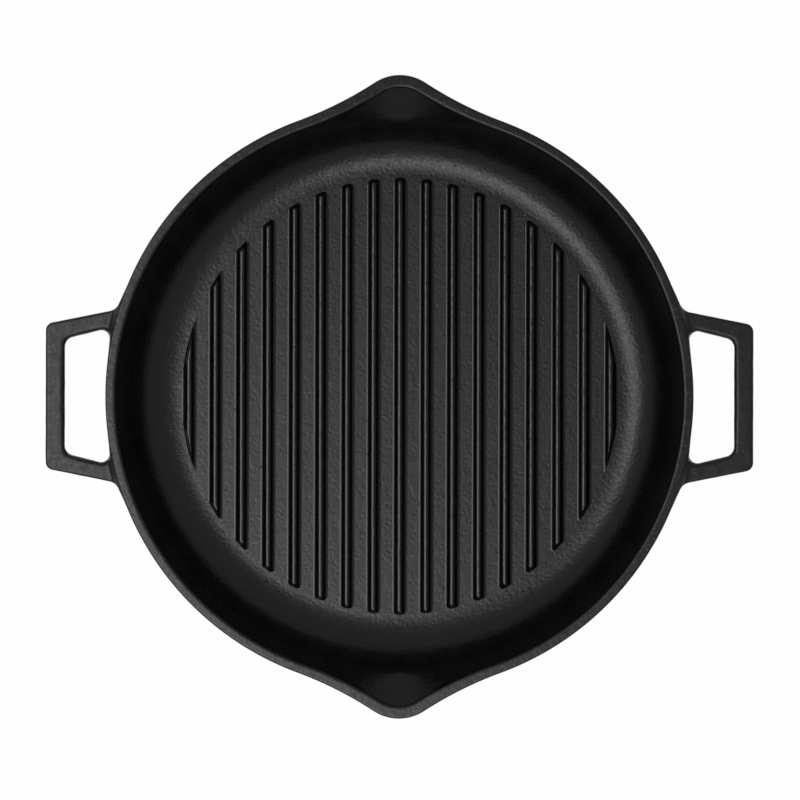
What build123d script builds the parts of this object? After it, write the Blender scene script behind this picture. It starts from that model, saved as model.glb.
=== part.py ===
from build123d import *

import math
import os

# Grill pan of cast iron: a round pan with a ribbed floor, two pouring spouts and two loop handles.
# The real pan is one casting. Its named regions are solids here, which meet face to face.
# The origin is the middle of the resting face, +Z is up, +X points along the handles
# and +Y towards the rear spout. Lengths are in millimetres, angles in degrees.

# Bowl
rim_diameter = 300.0
pan_height = 48.0
rim_width = 5.0
rim_land_height = 3.0
rim_edge_radius = 1.2
wall_draft_angle = 19.0
cove_radius = 24.6
floor_thickness = 5.0

# Pouring spouts
spout_reach = 14.1
spout_lip_width = 6.6
spout_tip_radius = 23.5
spout_blend_radius = 194.0
spout_slope_angle = 44.5
spout_zone_margin = 2.0
spout_zone_turn = 2.0

# Loop handles
handle_reach = 30.4
handle_length = 73.9
handle_bar_width = 9.8
handle_arm_width = 7.85
handle_thickness = 9.0
handle_splay_angle = 11.3
handle_corner_radius = 3.0
handle_edge_radius = 2.0
handle_root_radius = 7.0
handle_root_depth = 1.5
handle_root_margin = 0.6

# Openings of the loop handles
opening_splay_angle = 14.1
opening_corner_radius = 4.0
opening_root_radius = 2.5

# Ribs
rib_count = 17
rib_height = 5.0
rib_top_width = 3.0
rib_draft_angle = 12.0
rib_corner_radius = 0.8
rib_edge_radius = 0.6
rib_foot_radius = 2.2
rib_foot_ledge = 0.3
rib_foot_depth = 1.0
rib_end_gap = 0.2
outer_rib_inset = 3.7

quarter_turn = 90.0
same_place_share = 1e-6


def slope_of(angle):
    """Run sideways for each unit of height of a face that leans by this angle."""
    return math.tan(math.radians(angle))


def cosine(angle):
    return math.cos(math.radians(angle))


def sine(angle):
    return math.sin(math.radians(angle))


# Bowl sizes that follow from the driving ones
rim_radius = rim_diameter / 2
mouth_radius = rim_radius - rim_width
rim_base = pan_height - rim_land_height
wall_slope = slope_of(wall_draft_angle)
cove_run_share = cosine(wall_draft_angle) - (1 - sine(wall_draft_angle)) * wall_slope
floor_radius = mouth_radius - (rim_base - floor_thickness) * wall_slope - cove_radius * cove_run_share
outer_cove_radius = (rim_radius - rim_base * wall_slope - floor_radius) / cove_run_share


def bowl_solid(bottom, cove, top_radius):
    """Solid of revolution with a flat bottom, a round cove and a drafted wall up to the rim."""
    with BuildPart() as solid:
        with BuildSketch(Plane.XZ):
            with BuildLine():
                centre = (floor_radius, bottom + cove)
                bend = CenterArc(centre, cove, -quarter_turn, quarter_turn - wall_draft_angle)
                Polyline(bend @ 0, (0, bottom), (0, rim_base), (top_radius, rim_base), bend @ 1)
            make_face()
        revolve(axis=Axis.Z)
    return solid.part


bowl_outside = bowl_solid(0, outer_cove_radius, rim_radius)
bowl_inside = bowl_solid(floor_thickness, cove_radius, mouth_radius)

with BuildPart() as wall_blank:
    add(bowl_outside)
    add(bowl_inside, mode=Mode.SUBTRACT)
    with BuildSketch():
        Circle(floor_radius)
    extrude(amount=floor_thickness, mode=Mode.SUBTRACT)


# Spout outlines, for the spout on +Y
class SpoutMouth:
    """Edge of the mouth round a spout: a round tip between two hollow arcs that run into the circle."""

    def __init__(self, circle_radius, reach, tip_radius, blend_radius):
        self.tip = (0, circle_radius + reach)
        self.circle_radius = circle_radius
        self.tip_radius = tip_radius
        self.blend_radius = blend_radius
        tip_centre = circle_radius + reach - tip_radius
        to_circle = circle_radius + blend_radius
        to_tip = tip_radius + blend_radius
        self.blend_y = (tip_centre**2 + to_circle**2 - to_tip**2) / (2 * tip_centre)
        self.blend_x = math.sqrt(to_circle**2 - self.blend_y**2)
        join_share = tip_radius / to_tip
        merge_share = circle_radius / to_circle
        self.join = (self.blend_x * join_share, tip_centre + (self.blend_y - tip_centre) * join_share)
        self.merge = (self.blend_x * merge_share, self.blend_y * merge_share)
        self.half_angle = math.degrees(math.atan2(self.blend_x, self.blend_y))
        self.depth = (reach + rim_width / 2) / (slope_of(spout_slope_angle) - wall_slope)
        self.apex_radius = circle_radius - rim_width / 2 - self.depth * wall_slope

    def draw_spout(self):
        """Blend arc, tip arc and blend arc of the spout on +Y, in the open line builder."""
        join_x, join_y = self.join
        merge_x, merge_y = self.merge
        RadiusArc((merge_x, merge_y), (join_x, join_y), self.blend_radius)
        ThreePointArc((join_x, join_y), self.tip, (-join_x, join_y))
        RadiusArc((-join_x, join_y), (-merge_x, merge_y), self.blend_radius)

    def whole(self):
        """The whole mouth: two side arcs of the circle and both spouts."""
        merge_x, merge_y = self.merge
        with BuildSketch() as mouth:
            with BuildLine():
                self.draw_spout()
                mirror(about=Plane.XZ)
                ThreePointArc((merge_x, merge_y), (self.circle_radius, 0), (merge_x, -merge_y))
                ThreePointArc((-merge_x, merge_y), (-self.circle_radius, 0), (-merge_x, -merge_y))
            make_face()
        return mouth.sketch

    def spout_end(self):
        """The spout alone, closed by a straight line across the pan."""
        merge_x, merge_y = self.merge
        with BuildSketch(Plane.XY.offset(rim_base)) as mouth:
            with BuildLine():
                self.draw_spout()
                Line((-merge_x, merge_y), (merge_x, merge_y))
            make_face()
        return mouth.sketch

    def cone(self):
        """Cone from the mouth's edge down to one point in the wall."""
        apex = Vertex(0, self.apex_radius, rim_base - self.depth)
        with BuildPart() as solid:
            loft(sections=[self.spout_end(), apex], ruled=True)
        return solid.part


outer_mouth = SpoutMouth(rim_radius, spout_reach, spout_tip_radius, spout_blend_radius)
inner_mouth = SpoutMouth(
    mouth_radius,
    spout_reach + rim_width - spout_lip_width,
    spout_tip_radius - rim_width,
    spout_blend_radius + rim_width,
)
spout_zone_angle = outer_mouth.half_angle + spout_zone_turn
spout_zone_height = outer_mouth.depth + spout_zone_margin
spout_zone_reach = rim_radius + spout_reach + spout_zone_margin

with BuildPart() as spout_zone:
    with BuildSketch(Plane.XY.offset(rim_base - spout_zone_height)):
        half_width = spout_zone_reach * slope_of(spout_zone_angle)
        Polygon((0, 0), (half_width, spout_zone_reach), (-half_width, spout_zone_reach), align=None)
    extrude(amount=spout_zone_height)

with BuildPart() as rear_spout:
    add(wall_blank.part)
    add(spout_zone.part, mode=Mode.INTERSECT)
    add(outer_mouth.cone())
    add(bowl_inside, mode=Mode.SUBTRACT)
    add(inner_mouth.cone(), mode=Mode.SUBTRACT)

with BuildPart() as front_spout:
    mirror(rear_spout.part, about=Plane.XZ)

# Rim: the flat band round the mouth, with the lips of both spouts
with BuildPart() as rim:
    with BuildSketch(Plane.XY.offset(rim_base)):
        add(outer_mouth.whole())
        add(inner_mouth.whole(), mode=Mode.SUBTRACT)
    extrude(amount=rim_land_height)
    fillet(rim.faces().sort_by(Axis.Z)[-1].edges(), rim_edge_radius)

# Loop handles
bar_outside = rim_radius + handle_reach
bar_inside = bar_outside - handle_bar_width
opening_length = handle_length - 2 * handle_arm_width
root_inside = rim_radius - handle_reach / 2
handle_top = rim_base
handle_bottom = handle_top - handle_thickness


def arm_trapezium(end, length, splay):
    """Four corners of a shape that widens from its outer end towards the pan."""
    half_end = length / 2
    half_root = half_end + (end - root_inside) * slope_of(splay)
    return (root_inside, half_root), (end, half_end), (end, -half_end), (root_inside, -half_root)


def root_end(end, length, splay, radius, side):
    """Distance in Y from the middle to where a root fillet runs into the rim circle."""
    line_distance = sine(splay) * end + cosine(splay) * length / 2 + side * radius
    along = math.sqrt((rim_radius + radius) ** 2 - line_distance**2)
    centre_y = cosine(splay) * line_distance - sine(splay) * along
    return centre_y * rim_radius / (rim_radius + radius)


outer_fillet_end = root_end(bar_outside, handle_length, handle_splay_angle, handle_root_radius, 1)
inner_fillet_end = root_end(bar_inside, opening_length, opening_splay_angle, opening_root_radius, -1)
outer_root_end = outer_fillet_end + handle_root_margin
inner_root_end = inner_fillet_end - handle_root_margin

with BuildPart() as wall_core:
    with BuildSketch(Plane.XZ):
        core_top = rim_radius - handle_root_depth
        core_foot = core_top - handle_thickness * wall_slope
        Polygon(
            (0, handle_bottom),
            (core_foot, handle_bottom),
            (core_top, handle_top),
            (0, handle_top),
            align=None,
        )
    revolve(axis=Axis.Z)


def on_rim_circle(corner):
    """True for the corners where a handle's arms meet the rim circle."""
    radius = math.hypot(corner.X, corner.Y)
    return corner.Y != 0 and math.isclose(radius, rim_radius, rel_tol=same_place_share)


def outside_rim(edge):
    """True for the edges of a handle that stand clear of the pan."""
    middle = edge.center()
    return math.hypot(middle.X, middle.Y) > rim_radius * (1 + same_place_share)


with BuildPart() as right_handle:
    with BuildSketch(Plane.XY.offset(handle_bottom)) as plan:
        Polygon(*arm_trapezium(bar_outside, handle_length, handle_splay_angle), align=None)
        fillet(plan.vertices().group_by(Axis.X)[-1], handle_corner_radius)
        with BuildSketch(mode=Mode.SUBTRACT) as opening:
            Polygon(*arm_trapezium(bar_inside, opening_length, opening_splay_angle), align=None)
            fillet(opening.vertices().group_by(Axis.X)[-1], opening_corner_radius)
        Circle(rim_radius)
        roots = plan.vertices().filter_by(on_rim_circle).sort_by(lambda corner: abs(corner.Y))
        fillet(roots[2:], handle_root_radius)
        fillet(roots[:2], opening_root_radius)
        Rectangle(2 * rim_radius, 2 * inner_root_end, mode=Mode.SUBTRACT)
        with Locations((rim_radius, 0)):
            Rectangle(rim_radius, 2 * outer_root_end, mode=Mode.INTERSECT)
    extrude(amount=handle_thickness)
    fillet(right_handle.edges().filter_by(Plane.XY).filter_by(outside_rim), handle_edge_radius)
    add(wall_core.part, mode=Mode.SUBTRACT)

with BuildPart() as left_handle:
    mirror(right_handle.part, about=Plane.YZ)

# Side wall: the cove and the wall between the two spouts, recessed for the roots of the handles
with BuildPart() as side_wall:
    add(wall_blank.part)
    add(spout_zone.part, mode=Mode.SUBTRACT)
    mirror(spout_zone.part, about=Plane.XZ, mode=Mode.SUBTRACT)
    add(right_handle.part, mode=Mode.SUBTRACT)
    add(left_handle.part, mode=Mode.SUBTRACT)

# Ribs: drafted bars along Y, cut off on a circle inside the flat floor
rib_draft_run = rib_height * slope_of(rib_draft_angle)
rib_foot_width = rib_top_width + 2 * rib_draft_run
rib_foot_corner = rib_corner_radius + rib_draft_run
rib_foot_run = rib_foot_radius * slope_of((quarter_turn - rib_draft_angle) / 2) + rib_foot_ledge
rib_end_radius = floor_radius - rib_foot_run - rib_end_gap
rib_pitch = 2 * (rib_end_radius - outer_rib_inset) / (rib_count - 1)


def rib_outline(plane, middle):
    """Plan of a rib's foot: a strip along Y that ends on a circle, with rounded corners."""
    with BuildSketch(plane) as outline:
        with Locations((middle, 0)):
            Rectangle(rib_foot_width, 2 * rib_end_radius)
        Circle(rib_end_radius, mode=Mode.INTERSECT)
        fillet(outline.vertices(), rib_foot_corner)
    return outline.sketch


def make_rib(middle):
    """One rib with its hollow foot and the shallow root by which it grows out of the floor."""
    foot = rib_outline(Plane.XY.offset(floor_thickness), middle)
    with BuildPart() as rib:
        extrude(foot, amount=rib_height, taper=rib_draft_angle)
        fillet(rib.faces().sort_by(Axis.Z)[-1].edges(), rib_edge_radius)
        with BuildSketch(Plane.XY.offset(floor_thickness - rib_foot_depth)):
            add(rib_outline(Plane.XY, middle))
            offset(amount=rib_foot_run, kind=Kind.ARC)
        extrude(amount=rib_foot_depth)
        ledge = rib.faces().filter_by(Plane.XY).sort_by(Axis.Z)[-2]
        fillet(ledge.inner_wires().edges(), rib_foot_radius)
    return rib.part


ribs = []
for number in range(rib_count):
    middle = (number - (rib_count - 1) / 2) * rib_pitch
    ribs.append(make_rib(middle))

# Floor: the flat disc that the pan rests on, recessed for the roots of the ribs
with BuildPart() as pan_floor:
    with BuildSketch():
        Circle(floor_radius)
    extrude(amount=floor_thickness)
    add(ribs, mode=Mode.SUBTRACT)

pieces = {
    "pan_floor": pan_floor.part,
    "side_wall": side_wall.part,
    "rim": rim.part,
    "front_spout": front_spout.part,
    "rear_spout": rear_spout.part,
    "left_handle": left_handle.part,
    "right_handle": right_handle.part,
}
for number, rib in enumerate(ribs, start=1):
    pieces[f"rib_{number:02d}"] = rib

os.makedirs("parts", exist_ok=True)
for name, piece in pieces.items():
    piece.label = name
    export_step(piece, f"parts/{name}.step")
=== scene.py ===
import math

import bmesh
import bpy
from mathutils import Matrix, Quaternion, Vector, noise


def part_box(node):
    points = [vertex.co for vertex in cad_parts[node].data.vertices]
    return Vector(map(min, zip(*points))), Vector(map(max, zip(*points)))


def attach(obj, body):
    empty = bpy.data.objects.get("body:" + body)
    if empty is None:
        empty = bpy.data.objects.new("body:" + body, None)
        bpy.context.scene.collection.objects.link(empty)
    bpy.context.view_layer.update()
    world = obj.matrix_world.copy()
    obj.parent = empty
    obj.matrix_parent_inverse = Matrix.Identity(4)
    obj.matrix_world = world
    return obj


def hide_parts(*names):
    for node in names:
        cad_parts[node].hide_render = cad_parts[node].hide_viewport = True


# Grill pan of seasoned cast iron, seen from above.
# Meshes are drawn in millimetres and made metres at the end, in the frame's own axes.
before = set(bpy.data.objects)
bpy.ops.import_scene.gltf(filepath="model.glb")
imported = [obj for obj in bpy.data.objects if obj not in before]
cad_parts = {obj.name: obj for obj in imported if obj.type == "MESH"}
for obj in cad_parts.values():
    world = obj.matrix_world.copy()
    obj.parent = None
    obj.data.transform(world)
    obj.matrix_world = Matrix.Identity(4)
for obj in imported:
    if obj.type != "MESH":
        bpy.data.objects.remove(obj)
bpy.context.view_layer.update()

MM = 0.001
FULL_TURN = 360.0


# Sizes read from the frame
def corners(node):
    """Lowest and highest corner of a CAD node, in millimetres."""
    low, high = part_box(node)
    return low / MM, high / MM


rim_low, rim_high = corners("rim")
floor_high = corners("pan_floor")[1]
handle_low, handle_high = corners("right_handle")
middle_rib_high = corners("rib_09")[1]

rim_radius = rim_high.x
rim_base = rim_low.z
pan_height = rim_high.z
spout_reach = rim_high.y - rim_high.x
floor_radius = floor_high.x
floor_top = floor_high.z
bar_outside = handle_high.x
handle_base = handle_low.z
handle_top = handle_high.z
rib_height = middle_rib_high.z - floor_top

# Bowl, in millimetres and degrees. Its skin meets the cooking floor's disc at the floor's edge.
rim_width = 5.4
wall_draft = 19.0
cove_radius = 24.6
outer_edge_radius = 0.8
inner_edge_radius = 1.6
floor_edge_radius = 111.2
floor_step_start = 112.0
floor_step_width = 1.2
floor_step_drop = 0.02

# Spouts, at the rear and at the front
spout_angles = (90.0, 270.0)
spout_lip_width = 6.6
spout_tip_radius = 23.5
spout_blend_radius = 194.0
spout_slope = 52.0
spout_narrowing = 0.45

# Handles. The arms spread towards the bowl, and a splay is the angle of an arm's edge.
# The sink is how deep their ends sit in the wall.
opening_inset = 9.8
handle_length = 73.9
handle_splay = 11.3
handle_corner_radius = 4.3
opening_length = 58.2
opening_splay = 14.1
opening_corner_radius = 5.0
outer_side_edge_radius = 1.2
inner_side_edge_radius = 2.6
thickness_per_edge_radius = 2.2
outer_root_radius = 7.0
inner_root_radius = 4.2
handle_sink = 2.8
handle_waviness = 0.10
handle_wave_size = 5.0

# Webs that join the handles' tops to the rim. The underside lifts over the last stations.
web_width = 0.7
web_spread = 4.5
web_slope_start = 2.3
web_slope = 47.0
web_slope_softness = 0.4
web_lift_steps = 8
web_end_thickness = 3.0

# Ribs. Their ends are cut off on a circle, where the foot spreads by only a share of its width.
# The least angle keeps the outermost flanks inside that circle. The lift keeps the foot's ledge
# just clear of the floor, and the sink closes it below.
rib_count = 17
rib_draft = 12.0
rib_ridge_radius = 1.2
rib_crest_tilt = 8.0
rib_crest_slope = 0.5
rib_corner_radius = 0.6
rib_foot_radius = 1.9
rib_ledge = 0.35
rib_end_radius = 111.4
rib_end_foot_share = 0.25
rib_plan_corner = 1.3
rib_end_least_angle = 4.0
rib_lift = 0.02
rib_sink = 0.8
rib_waviness = 0.12
rib_wave_size = 3.2

# How finely the forms are drawn: the straight pieces in each arc or stretch
bowl_steps = 480
outer_cove_steps = 14
outer_wall_steps = 16
outer_edge_steps = 7
rim_steps = 4
inner_edge_steps = 6
inner_wall_steps = 18
cove_steps = 20
rib_foot_steps = 7
rib_flank_steps = 2
rib_corner_steps = 6
rib_ridge_steps = 3
rib_plan_corner_steps = 6
rib_end_steps = 10
rib_point_spacing = 1.4
handle_corner_steps = 8
handle_arm_steps = 10
handle_root_steps = 12
handle_end_steps = 4
handle_bar_steps = 30
handle_top_steps = 5
handle_side_steps = 3
outer_side_edge_steps = 6
inner_side_edge_steps = 8
weld_distance = 0.001
smooth_angle = 42.0

# Skin that the sand mould and the baked oil leave, with its sizes in millimetres.
# Pits are given as shares of their spacing, and the gloss follows the usual range of the noise.
grain_size = 1.7
grain_full_below = 14.0
grain_worn_above = 34.0
grain_worn_share = 0.45
swell_size = 6.0
pit_spacing = 5.5
pit_bottom = 0.04
pit_edge = 0.14
patch_size = 9.0
gloss_spread = 0.08
usual_noise_low = 0.3
usual_noise_high = 0.7


def cosine(angle):
    return math.cos(math.radians(angle))


def sine(angle):
    return math.sin(math.radians(angle))


def tangent(angle):
    return math.tan(math.radians(angle))


def angles_between(start, end, steps):
    """Angles from one to another, with both of them."""
    return [start + (end - start) * step / steps for step in range(steps + 1)]


def arc(centre, radius, start, end, steps):
    """Points of an arc, from one angle to another, in a plane of two coordinates."""
    angles = angles_between(start, end, steps)
    return [(centre[0] + radius * cosine(a), centre[1] + radius * sine(a)) for a in angles]


def between(first, last, steps):
    """Points inside a straight stretch, without its two ends."""
    spots = [step / steps for step in range(1, steps)]
    return [tuple(a + (b - a) * share for a, b in zip(first, last)) for share in spots]


# Rings: closed loops of vertices, from which walls of faces grow
def ring_edges(mesh, ring):
    return [mesh.edges.get((a, b)) for a, b in zip(ring, ring[1:] + ring[:1])]


def first_ring(mesh, places):
    ring = [mesh.verts.new(place) for place in places]
    for a, b in zip(ring, ring[1:] + ring[:1]):
        mesh.edges.new((a, b))
    return ring


def close_ring(mesh, ring):
    bmesh.ops.holes_fill(mesh, edges=ring_edges(mesh, ring))


def grow_ring(mesh, ring, places):
    """Extrudes a ring and puts its new vertices, in the same order, at new places."""
    grown = set(bmesh.ops.extrude_edge_only(mesh, edges=ring_edges(mesh, ring))["geom"])
    new_ring = []
    for vertex in ring:
        neighbours = [edge.other_vert(vertex) for edge in vertex.link_edges]
        new_ring.append(next(neighbour for neighbour in neighbours if neighbour in grown))
    for vertex, place in zip(new_ring, places):
        vertex.co = place
    return new_ring


def grow_wall(mesh, ring, rings):
    """Grows a wall from a ring through the places of more rings, and gives back its last ring."""
    for places in rings:
        ring = grow_ring(mesh, ring, places)
    return ring


def roughen(mesh, waviness, wave_size, lowest):
    """Moves vertices above a height in or out a little, as the sand mould leaves them."""
    mesh.normal_update()
    moves = []
    for vertex in mesh.verts:
        wave = noise.noise(vertex.co / wave_size) if vertex.co.z > lowest else 0
        moves.append(vertex.normal * wave * waviness)
    for vertex, move in zip(mesh.verts, moves):
        vertex.co += move


def make_piece(mesh, name, material, *nodes):
    """Turns a finished mesh into a piece that rides on the pan and stands for its nodes."""
    bmesh.ops.remove_doubles(mesh, verts=mesh.verts, dist=weld_distance)
    bmesh.ops.recalc_face_normals(mesh, faces=mesh.faces)
    bmesh.ops.scale(mesh, vec=(MM, MM, MM), verts=mesh.verts)
    data = bpy.data.meshes.new(name)
    mesh.to_mesh(data)
    mesh.free()
    data.materials.append(material)
    data.shade_smooth()
    data.set_sharp_from_angle(angle=math.radians(smooth_angle))
    piece = bpy.data.objects.new(name, data)
    bpy.context.scene.collection.objects.link(piece)
    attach(piece, "root")
    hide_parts(*nodes)


# Materials
def linear(code):
    """Linear RGBA of an sRGB hex colour."""
    levels = [int(code[i:i + 2], 16) / 255 for i in (1, 3, 5)]
    return [v / 12.92 if v <= 0.04045 else ((v + 0.055) / 1.055) ** 2.4 for v in levels] + [1.0]


def add_node(tree, kind, inputs=None, **settings):
    """Adds a node, with its settings and with values or links for its inputs."""
    node = tree.nodes.new(kind)
    for name, value in settings.items():
        setattr(node, name, value)
    for key, value in (inputs or {}).items():
        if isinstance(value, bpy.types.NodeSocket):
            tree.links.new(value, node.inputs[key])
        else:
            node.inputs[key].default_value = value
    return node


def seasoned_cast_iron(name, dark, light, roughness, grain_height, swell_height, pit_height):
    """Sand-cast iron under a baked-on coat of oil: near-black, satin, with the grain of the sand."""
    material = bpy.data.materials.new(name)
    material.use_nodes = True
    tree = material.node_tree
    shader = tree.nodes["Principled BSDF"]
    place = add_node(tree, "ShaderNodeTexCoord").outputs["Object"]

    # Sand grains are about 0.5 mm. They are drawn three times as coarse, so that they show.
    grain = add_node(tree, "ShaderNodeTexNoise",
                     {"Vector": place, "Scale": 1 / (grain_size * MM), "Detail": 2.0, "Roughness": 0.5})
    # Soft swells, left by the mould
    swell = add_node(tree, "ShaderNodeTexNoise",
                     {"Vector": place, "Scale": 1 / (swell_size * MM), "Detail": 1.0, "Roughness": 0.5})
    # Sparse pits of about 1 mm
    cells = add_node(tree, "ShaderNodeTexVoronoi",
                     {"Vector": place, "Scale": 1 / (pit_spacing * MM), "Randomness": 1.0})
    pit = add_node(tree, "ShaderNodeMapRange",
                   {"Value": cells.outputs["Distance"], "From Min": pit_bottom, "From Max": pit_edge,
                    "To Min": -1.0, "To Max": 0.0}, interpolation_type="SMOOTHSTEP")
    # The grain is full on the floor and in the cove, and worn smoother up the wall and on the rim
    up = add_node(tree, "ShaderNodeSeparateXYZ", {"Vector": place}).outputs["Z"]
    wear = add_node(tree, "ShaderNodeMapRange",
                    {"Value": up, "From Min": grain_full_below * MM, "From Max": grain_worn_above * MM,
                     "To Min": grain_height * MM, "To Max": grain_worn_share * grain_height * MM})
    grain_part = add_node(tree, "ShaderNodeMath",
                          {0: grain.outputs["Fac"], 1: wear.outputs["Result"]}, operation="MULTIPLY")
    swell_part = add_node(tree, "ShaderNodeMath",
                          {0: swell.outputs["Fac"], 1: swell_height * MM, 2: grain_part.outputs[0]},
                          operation="MULTIPLY_ADD")
    height = add_node(tree, "ShaderNodeMath",
                      {0: pit.outputs["Result"], 1: pit_height * MM, 2: swell_part.outputs[0]},
                      operation="MULTIPLY_ADD")
    bump = add_node(tree, "ShaderNodeBump",
                    {"Height": height.outputs[0], "Strength": 1.0, "Distance": 1.0})
    tree.links.new(bump.outputs["Normal"], shader.inputs["Normal"])

    # The coat is a little uneven in colour and in gloss
    patch = add_node(tree, "ShaderNodeTexNoise",
                     {"Vector": place, "Scale": 1 / (patch_size * MM), "Detail": 4.0, "Roughness": 0.6})
    colour = add_node(tree, "ShaderNodeMix",
                      {"Factor": patch.outputs["Fac"], "A": linear(dark), "B": linear(light)},
                      data_type="RGBA")
    tree.links.new(colour.outputs["Result"], shader.inputs["Base Color"])
    gloss = add_node(tree, "ShaderNodeMapRange",
                     {"Value": grain.outputs["Fac"],
                      "From Min": usual_noise_low, "From Max": usual_noise_high,
                      "To Min": roughness - gloss_spread, "To Max": roughness + gloss_spread})
    tree.links.new(gloss.outputs["Result"], shader.inputs["Roughness"])
    return material


bowl_iron = seasoned_cast_iron(
    "seasoned_cast_iron_bowl", "#050506", "#0a0a0b",
    roughness=0.305, grain_height=0.160, swell_height=0.14, pit_height=0.10,
)
floor_iron = seasoned_cast_iron(
    "seasoned_cast_iron_floor", "#060607", "#0c0c0d",
    roughness=0.33, grain_height=0.140, swell_height=0.12, pit_height=0.12,
)
rib_iron = seasoned_cast_iron(
    "seasoned_cast_iron_ribs", "#050506", "#0a0a0b",
    roughness=0.205, grain_height=0.050, swell_height=0.05, pit_height=0.06,
)
handle_iron = seasoned_cast_iron(
    "seasoned_cast_iron_handles", "#060607", "#0c0c0d",
    roughness=0.355, grain_height=0.120, swell_height=0.10, pit_height=0.08,
)


# Bowl: the wall, the cove, the rim and both spouts, as one skin
wall_slope = tangent(wall_draft)
mouth_radius = rim_radius - rim_width
cove_run_share = cosine(wall_draft) - (1 - sine(wall_draft)) * wall_slope
outer_cove_radius = (rim_radius - rim_base * wall_slope - floor_radius) / cove_run_share


class SpoutMouth:
    """Edge of the mouth round a spout: a round tip between two hollow arcs that run into the circle."""

    def __init__(self, circle_radius, reach, tip_radius, blend_radius):
        self.circle_radius = circle_radius
        self.tip_radius = tip_radius
        self.blend_radius = blend_radius
        self.tip_centre = circle_radius + reach - tip_radius
        self.blend_distance = circle_radius + blend_radius
        to_tip = tip_radius + blend_radius
        blend_y = (self.tip_centre**2 + self.blend_distance**2 - to_tip**2) / (2 * self.tip_centre)
        blend_x = math.sqrt(self.blend_distance**2 - blend_y**2)
        self.merge_angle = math.degrees(math.atan2(blend_x, blend_y))
        join_x = blend_x * tip_radius / to_tip
        join_y = self.tip_centre + (blend_y - self.tip_centre) * tip_radius / to_tip
        self.join_angle = math.degrees(math.atan2(join_x, join_y))
        self.depth = reach / (tangent(spout_slope) - wall_slope)

    def bulge(self, angle):
        """How far the edge stands outside its circle, at an angle from the spout's middle."""
        angle = abs(angle)
        if angle >= self.merge_angle:
            return 0.0
        if angle <= self.join_angle:
            across = self.tip_centre * sine(angle)
            along = self.tip_centre * cosine(angle)
            return along + math.sqrt(self.tip_radius**2 - across**2) - self.circle_radius
        turn = self.merge_angle - angle
        across = self.blend_distance * sine(turn)
        near = self.blend_distance * cosine(turn) - math.sqrt(self.blend_radius**2 - across**2)
        return near - self.circle_radius

    def bulge_at(self, angle, height):
        """The same at a height in the wall, where the spout is shallower and narrower."""
        share = min(1.0, (height - rim_base + self.depth) / self.depth)
        if share <= 0:
            return 0.0
        return share * self.bulge(angle / share**spout_narrowing)


outer_mouth = SpoutMouth(rim_radius, spout_reach, spout_tip_radius, spout_blend_radius)
inner_mouth = SpoutMouth(
    mouth_radius,
    spout_reach + rim_width - spout_lip_width,
    spout_tip_radius - rim_width,
    spout_blend_radius + rim_width,
)


def bowl_places(radius, height, inner_share):
    """One ring of the bowl: a circle that the two spouts push out."""
    places = []
    for step in range(bowl_steps):
        angle = FULL_TURN * step / bowl_steps
        from_spout = min(abs(angle - spout_angle) for spout_angle in spout_angles)
        bulge = (1 - inner_share) * outer_mouth.bulge_at(from_spout, height)
        bulge += inner_share * inner_mouth.bulge_at(from_spout, height)
        reach = radius + bulge
        places.append((reach * cosine(angle), reach * sine(angle), height))
    return places


def bowl_profile():
    """Distance, height and inner share of each ring, up the outside, over the rim and down the inside."""
    outside = [(floor_edge_radius, 0.0)]
    outer_cove_centre = (floor_radius, outer_cove_radius)
    outside += arc(outer_cove_centre, outer_cove_radius, -90, -wall_draft, outer_cove_steps)
    outside += between(outside[-1], (rim_radius, rim_base), outer_wall_steps)
    outside.append((rim_radius, rim_base))
    edge_centre = (rim_radius - outer_edge_radius, pan_height - outer_edge_radius)
    outside += arc(edge_centre, outer_edge_radius, 0, 90, outer_edge_steps)

    inner_centre = (mouth_radius + inner_edge_radius, pan_height - inner_edge_radius)
    top = between(outside[-1], (inner_centre[0], pan_height), rim_steps)

    inside = arc(inner_centre, inner_edge_radius, 90, 180, inner_edge_steps)
    inside.append((mouth_radius, rim_base))
    sunk_floor = floor_top - floor_step_drop
    cove = arc((floor_radius, sunk_floor + cove_radius), cove_radius, -wall_draft, -90, cove_steps)
    inside += between(inside[-1], cove[0], inner_wall_steps) + cove
    step_end = floor_step_start + floor_step_width
    inside.append((step_end + floor_step_width, sunk_floor))
    inside.append((step_end, sunk_floor))
    inside.append((floor_step_start, floor_top))
    inside.append((floor_edge_radius, floor_top))

    rings = [(r, z, 0.0) for r, z in outside]
    rings += [(r, z, number / rim_steps) for number, (r, z) in enumerate(top, start=1)]
    rings += [(r, z, 1.0) for r, z in inside]
    return rings


def make_bowl():
    mesh = bmesh.new()
    rings = [bowl_places(*ring) for ring in bowl_profile()]
    grow_wall(mesh, first_ring(mesh, rings[0]), rings[1:] + rings[:1])
    make_piece(mesh, "bowl", bowl_iron, "side_wall", "rim", "front_spout", "rear_spout")


def make_floor():
    """Cooking floor: a flat disc whose edge meets the bowl on level ground."""
    mesh = bmesh.new()
    foot = bmesh.ops.create_circle(mesh, cap_ends=True, segments=bowl_steps, radius=floor_edge_radius)
    face = foot["verts"][0].link_faces[0]
    grown = bmesh.ops.extrude_face_region(mesh, geom=[face])["geom"]
    top = [v for v in grown if isinstance(v, bmesh.types.BMVert)]
    bmesh.ops.translate(mesh, vec=(0, 0, floor_top), verts=top)
    make_piece(mesh, "cooking_floor", floor_iron, "pan_floor")


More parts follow.
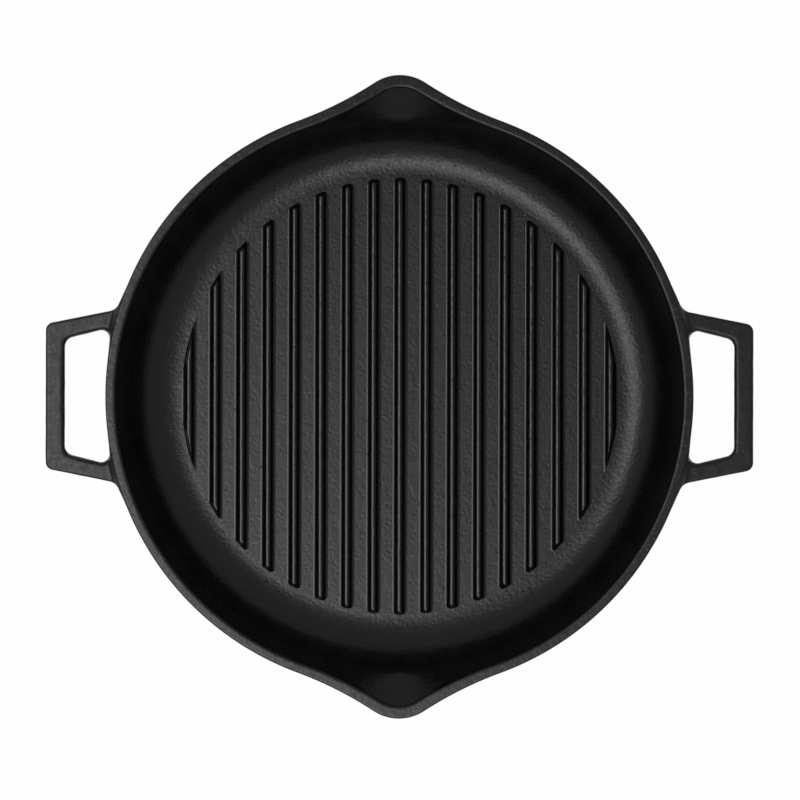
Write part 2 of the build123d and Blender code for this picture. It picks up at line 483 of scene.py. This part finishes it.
# Ribs: a rounded ridge on a gently sloping crest, round corners, leaning flanks and a concave foot
rib_lean = 90 - rib_draft
rib_crest_half = rib_ridge_radius * sine(rib_crest_tilt) + rib_crest_slope * cosine(rib_crest_tilt)
rib_crest_drop = rib_ridge_radius * (1 - cosine(rib_crest_tilt)) + rib_crest_slope * sine(rib_crest_tilt)
rib_corner_run = rib_corner_radius * (sine(rib_lean) - sine(rib_crest_tilt))
rib_corner_drop = rib_corner_radius * (cosine(rib_crest_tilt) - cosine(rib_lean))
rib_flank_top = rib_height - rib_crest_drop - rib_corner_drop
rib_foot_half = rib_crest_half + rib_corner_run + rib_flank_top * tangent(rib_draft)


def rib_profile():
    """Inset from the foot's outline and height above the floor, from the ledge to the ridge."""
    foot_start = -rib_foot_radius * tangent(rib_lean / 2)
    rows = [(foot_start - rib_ledge, 0.0)]
    for angle in angles_between(0, rib_lean, rib_foot_steps):
        rows.append((foot_start + rib_foot_radius * sine(angle), rib_foot_radius * (1 - cosine(angle))))
    flank_inset = rib_flank_top * tangent(rib_draft)
    rows += between(rows[-1], (flank_inset, rib_flank_top), rib_flank_steps)
    for angle in angles_between(rib_lean, rib_crest_tilt, rib_corner_steps):
        inset = flank_inset + rib_corner_radius * (sine(rib_lean) - sine(angle))
        rows.append((inset, rib_flank_top + rib_corner_radius * (cosine(angle) - cosine(rib_lean))))
    for angle in angles_between(rib_crest_tilt, 0, rib_ridge_steps):
        inset = rib_foot_half - rib_ridge_radius * sine(angle)
        rows.append((inset, rib_height - rib_ridge_radius * (1 - cosine(angle))))
    return rows


def rib_outline(middle, inset):
    """Outline of a rib in plan: two straight flanks, and ends cut off on a circle.

    The corners are round where the circle crosses the rib squarely, and sharp where it slants.
    """
    end_inset = inset if inset > 0 else inset * rib_end_foot_share
    squareness = 1 - (middle / rib_end_radius) ** 2
    rounding = min((rib_plan_corner + max(0.0, -inset)) * squareness, rib_foot_half - inset)
    half = rib_foot_half - inset - rounding
    circle = rib_end_radius - end_inset - rounding
    right = min(middle + half, circle * cosine(rib_end_least_angle))
    left = middle - half
    right_y = math.sqrt(circle**2 - right**2)
    left_y = math.sqrt(circle**2 - left**2)
    right_angle = math.degrees(math.atan2(right_y, right))
    left_angle = math.degrees(math.atan2(left_y, left))
    upper = arc((right, right_y), rounding, 0, right_angle, rib_plan_corner_steps)
    upper += arc((0, 0), circle + rounding, right_angle, left_angle, rib_end_steps)[1:-1]
    upper += arc((left, left_y), rounding, left_angle, 180, rib_plan_corner_steps)
    lower = [(x, -y) for x, y in reversed(upper)]
    length = 2 * math.sqrt(rib_end_radius**2 - middle**2)
    length_steps = round(length / rib_point_spacing)
    left_flank = between(upper[-1], lower[0], length_steps)
    right_flank = between(lower[-1], upper[0], length_steps)
    return upper + left_flank + lower + right_flank


def floor_height(radius):
    """Height of the floor at a distance from its middle, with the small step at its edge."""
    share = (radius - floor_step_start) / floor_step_width
    return floor_top - floor_step_drop * min(1.0, max(0.0, share))


def rib_places(middle, side, inset, height):
    """One ring of a rib, whose foot follows the floor and whose ridge is level."""
    share = max(0.0, height / rib_height)
    level = floor_top + rib_lift
    places = []
    for x, y in rib_outline(middle, inset):
        ground = floor_height(math.hypot(x, y)) + rib_lift
        places.append((side * x, y, height + (ground + (level - ground) * share)))
    return places


def make_rib(number):
    node = f"rib_{number:02d}"
    low, high = corners(node)
    middle = (low.x + high.x) / 2
    side = math.copysign(1, middle)
    profile = rib_profile()
    ledge = profile[0][0]
    rows = [(ledge, -rib_sink)] + profile
    rings = [rib_places(abs(middle), side, inset, height) for inset, height in rows]
    mesh = bmesh.new()
    start = first_ring(mesh, rings[0])
    close_ring(mesh, start)
    grow_wall(mesh, start, rings[1:])
    bmesh.ops.remove_doubles(mesh, verts=mesh.verts, dist=weld_distance)
    bmesh.ops.recalc_face_normals(mesh, faces=mesh.faces)
    roughen(mesh, rib_waviness, rib_wave_size, floor_top + rib_foot_radius / 2)
    make_piece(mesh, f"cast_{node}", rib_iron, node)


# Handles
def root_radius(height):
    """How far from the middle a handle ends inside the wall, which leans in below the rim."""
    return rim_radius - handle_sink - max(0.0, rim_base - height) * wall_slope


def arm_edge(end, half, splay, corner_radius, fillet_radius, side):
    """One edge of the right handle's upper arm in plan, from the bar to its end inside the wall.

    It is a round corner, a straight arm, a fillet and the spread of the web along the rim.
    The side is 1 for the outer edge and -1 for the edge of the opening.
    """
    corner_y = half + corner_radius * (tangent(splay) - 1 / cosine(splay))
    corner = arc((end - corner_radius, corner_y), corner_radius, 0, 90 - splay, handle_corner_steps)
    offset = sine(splay) * end + cosine(splay) * half + side * fillet_radius
    along = math.sqrt((rim_radius + web_width + fillet_radius) ** 2 - offset**2)
    root_x = cosine(splay) * along + sine(splay) * offset
    root_y = cosine(splay) * offset - sine(splay) * along
    turn = math.degrees(math.atan2(root_y, root_x))
    fillet_start = 180 + side * 90 - splay
    fillet = arc((root_x, root_y), fillet_radius, fillet_start, 180 + turn, handle_root_steps)
    edge = corner + between(corner[-1], fillet[0], handle_arm_steps) + fillet
    turn += side * web_spread
    skin = rim_radius - weld_distance
    sunk = root_radius(handle_base)
    at_skin = (skin * cosine(turn), skin * sine(turn))
    inside = (sunk * cosine(turn), sunk * sine(turn))
    return edge + between(edge[-1], at_skin, handle_end_steps) + [at_skin, inside]


def handle_stations():
    """Outer edge point, inner edge point and lift of the underside, from root to root.

    The edges are the right handle's, in plan. The underside lifts where the root runs out.
    """
    bar_inside = bar_outside - opening_inset
    outer = arm_edge(bar_outside, handle_length / 2, handle_splay,
                     handle_corner_radius, outer_root_radius, 1)
    inner = arm_edge(bar_inside, opening_length / 2, opening_splay,
                     opening_corner_radius, inner_root_radius, -1)
    lifts = [0.0] * (len(outer) - web_lift_steps)
    lifts += [step / web_lift_steps for step in range(1, web_lift_steps + 1)]
    upper = list(zip(outer, inner, lifts))
    lower = [((a[0], -a[1]), (b[0], -b[1]), lift) for a, b, lift in upper]
    bar = between(upper[0][0] + upper[0][1], lower[0][0] + lower[0][1], handle_bar_steps)
    middle = [(pair[:2], pair[2:], 0.0) for pair in bar]
    return upper[::-1] + middle + lower


def web_rise(radius):
    """How much the handle rises above its flat top, where its web slopes up to the rim."""
    inside = rim_radius + web_slope_start - radius
    return tangent(web_slope) * (inside + math.hypot(inside, web_slope_softness)) / 2


def handle_places(outer, inner, lift, side):
    """One ring of a handle: a rounded rectangle across the bar, from its outer to its inner edge."""
    outer, inner = Vector((*outer, 0)), Vector((*inner, 0))
    width = (outer - inner).length
    across = (outer - inner) / width
    high = handle_top
    low = handle_base + lift * (high - web_end_thickness - handle_base)
    largest_radius = (high - low) / thickness_per_edge_radius
    wide = min(inner_side_edge_radius, largest_radius)
    tight = min(outer_side_edge_radius, largest_radius)
    section = arc((width - tight, high - tight), tight, 0, 90, outer_side_edge_steps)
    section += between((width - tight, high), (wide, high), handle_top_steps)
    section += arc((wide, high - wide), wide, 90, 180, inner_side_edge_steps)
    section += between((0.0, high - wide), (0.0, low + wide), handle_side_steps)
    section += arc((wide, low + wide), wide, 180, 270, inner_side_edge_steps)
    section += between((wide, low), (width - tight, low), handle_top_steps)
    section += arc((width - tight, low + tight), tight, 270, 360, outer_side_edge_steps)
    section += between((width, low + tight), (width, high - tight), handle_side_steps)
    places = []
    for offset, flat_height in section:
        spot = inner + across * offset
        top = min(high + web_rise(spot.length), pan_height - outer_edge_radius)
        height = low + (flat_height - low) * (top - low) / (high - low)
        spot *= max(1.0, root_radius(height) / spot.length)
        places.append((side * spot.x, spot.y, height))
    return places


def make_handle(name, node, side):
    rings = [handle_places(outer, inner, lift, side) for outer, inner, lift in handle_stations()]
    mesh = bmesh.new()
    start = first_ring(mesh, rings[0])
    close_ring(mesh, start)
    end = grow_wall(mesh, start, rings[1:])
    close_ring(mesh, end)
    bmesh.ops.recalc_face_normals(mesh, faces=mesh.faces)
    roughen(mesh, handle_waviness, handle_wave_size, 0.0)
    make_piece(mesh, name, handle_iron, node)


make_bowl()
make_floor()
for rib_number in range(1, rib_count + 1):
    make_rib(rib_number)
make_handle("loop_handle_right", "right_handle", 1)
make_handle("loop_handle_left", "left_handle", -1)


# Table
table_size = 60.0
table_roughness = 0.9
table_glow = 0.98


def pale_table():
    """Matt white table. It is nearly as white as paper to the camera, and keeps a faint shadow."""
    material = bpy.data.materials.new("matt_white_table")
    material.use_nodes = True
    tree = material.node_tree
    paint = tree.nodes["Principled BSDF"]
    paint.inputs["Base Color"].default_value = linear("#f2f2f2")
    paint.inputs["Roughness"].default_value = table_roughness
    rays = add_node(tree, "ShaderNodeLightPath")
    seen = add_node(tree, "ShaderNodeMath",
                    {0: rays.outputs["Is Camera Ray"], 1: rays.outputs["Is Glossy Ray"]},
                    operation="MAXIMUM")
    seen = add_node(tree, "ShaderNodeMath",
                    {0: seen.outputs[0], 1: rays.outputs["Is Transmission Ray"]}, operation="MAXIMUM")
    share = add_node(tree, "ShaderNodeMath", {0: seen.outputs[0], 1: table_glow}, operation="MULTIPLY")
    glow = add_node(tree, "ShaderNodeEmission", {"Color": linear("#ffffff"), "Strength": 1.0})
    mix = add_node(tree, "ShaderNodeMixShader",
                   {0: share.outputs[0], 1: paint.outputs[0], 2: glow.outputs[0]})
    tree.links.new(mix.outputs[0], tree.nodes["Material Output"].inputs["Surface"])
    return material


bpy.ops.mesh.primitive_plane_add(size=table_size)
table = bpy.context.object
table.name = "table"
table.data.materials.append(pale_table())

# Room: even white light from all round
room_strength = 0.34
scene = bpy.context.scene
scene.view_settings.view_transform = "Standard"
world = bpy.data.worlds.new("room")
world.use_nodes = True
background = world.node_tree.nodes["Background"]
background.inputs["Color"].default_value = (1, 1, 1, 1)
background.inputs["Strength"].default_value = room_strength
scene.world = world

# A wide soft box at the front left, nearly overhead, that looks at the pan
key_place = Vector((-0.212, -0.185, 0.83))
key_width = 0.85
key_depth = 0.38
key_radiance = 3.0
key_data = bpy.data.lights.new("key", "AREA")
key_data.shape = "RECTANGLE"
key_data.size = key_width
key_data.size_y = key_depth
key_data.energy = key_radiance * math.pi * key_width * key_depth
key = bpy.data.objects.new("key", key_data)
key_back = key_place.normalized()
key_side = Vector((-key_back.y, key_back.x, 0)).normalized()
key.location = key_place
key.rotation_euler = Matrix((key_side, key_back.cross(key_side), key_back)).transposed().to_euler()
scene.collection.objects.link(key)

# Camera above the pan, leaning a third of a degree, so far away that the view is nearly parallel
photo_side = 800
photo_middle_x = 399.4
photo_middle_y = 396.85
pixel_size = 0.5097 * MM
camera_lean = 0.35
camera_roll = 0.12
camera_distance = 15.5
sensor_width = 36.0
camera_data = bpy.data.cameras.new("camera")
camera_data.sensor_width = sensor_width
camera_data.lens = sensor_width * camera_distance / (photo_side * pixel_size)
camera_data.clip_end = 2 * camera_distance
camera = bpy.data.objects.new("camera", camera_data)
aim = Vector((
    (photo_side / 2 - photo_middle_x) * pixel_size,
    (photo_middle_y - photo_side / 2) * pixel_size,
    pan_height * MM,
))
straight_up = Vector((0, 0, 1))
view_back = Vector((tangent(camera_lean), tangent(camera_lean), 1)).normalized()
lean = straight_up.rotation_difference(view_back)
camera.location = aim + view_back * camera_distance
camera.rotation_euler = (lean @ Quaternion(straight_up, math.radians(camera_roll))).to_euler()
scene.collection.objects.link(camera)
scene.camera = camera
